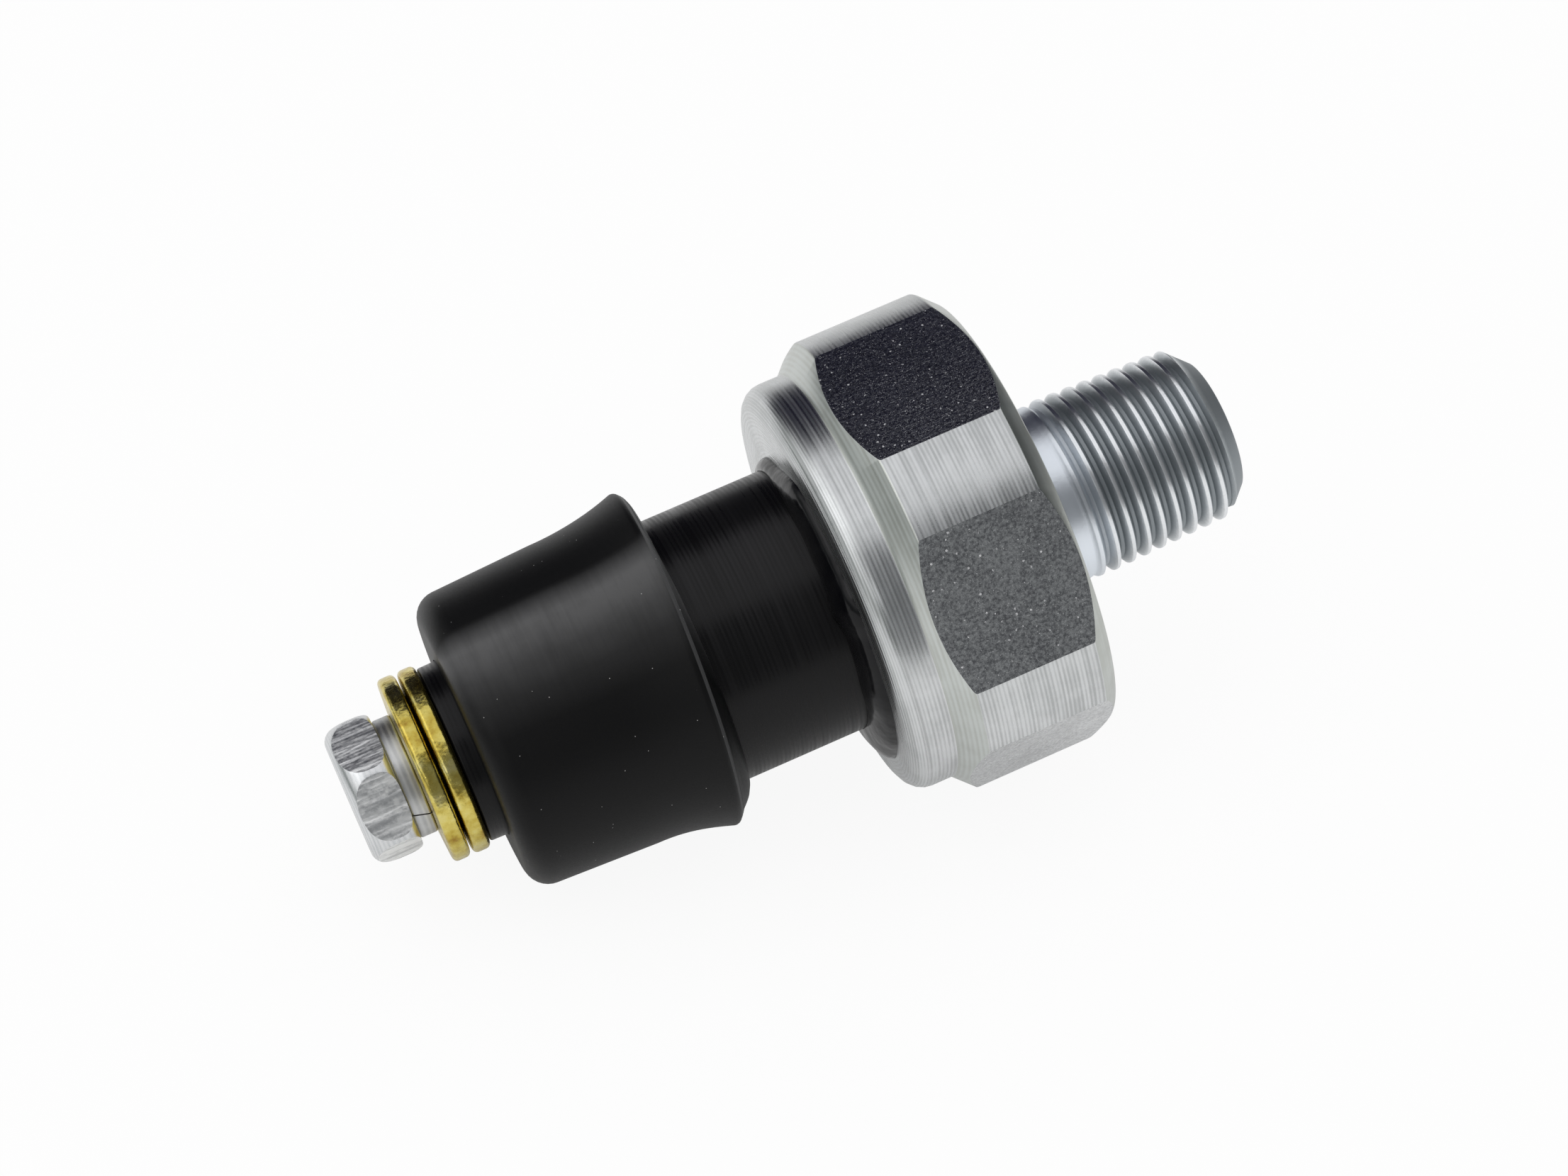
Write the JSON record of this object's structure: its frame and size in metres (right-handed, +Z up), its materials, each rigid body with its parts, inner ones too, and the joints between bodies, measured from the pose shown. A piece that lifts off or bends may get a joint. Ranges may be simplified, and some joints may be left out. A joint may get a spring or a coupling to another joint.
{
  "type": "oil pressure sender",
  "caption": "Screw-in oil pressure sender with a hexagon housing, taper thread, black insulator, rubber boot and a screw terminal with plated washers.",
  "frame": {"origin": "on the ground below the middle of the part's length and width", "axes": "+Z up, +X along the ground from the terminal towards the thread; the part's own axis rises 10 degrees above +X, because it lies on its hexagon and its boot"},
  "size_m": [0.0502, 0.0254, 0.0251],
  "materials": {
    "plated_steel": "bright zinc plate with fine turning marks",
    "inner_steel": "plain",
    "moulding": "satin black with turning marks",
    "plunger_plastic": "plain",
    "film": "smooth amber film",
    "boot_rubber": "matt black",
    "seal_rubber": "matt black",
    "sealant": "glossy black",
    "yellow_plate": "yellow passivated",
    "screw_steel": "bright plated",
    "lock_steel": "dull plated",
    "insert_brass": "turned",
    "contact_brass": "plain"
  },
  "bodies": {
    "housing": {"body_shell": "plated_steel", "insulator": "moulding", "boot": "boot_rubber", "sealant": "sealant", "inner_washer": "yellow_plate", "outer_washer": "yellow_plate", "lock_washer": "lock_steel", "terminal_screw": "screw_steel", "terminal_insert": "insert_brass", "spring_seat": "inner_steel", "contact_spring": "inner_steel", "guide_plate": "inner_steel", "diaphragm": "film", "seal_ring": "seal_rubber", "flange_gasket": "seal_rubber", "crimp_washer": "inner_steel"},
    "contact": {"contact_plate": "contact_brass", "plunger": "plunger_plastic"}
  },
  "joints": [
    {"name": "contact_travel", "type": "slide", "parent": "housing", "child": "contact", "axis": [-0.9848, 0, -0.1737], "range_m": [0, 0.0004], "stiffness_N_per_m": 200, "deforming": ["contact_spring"]}
  ]
}
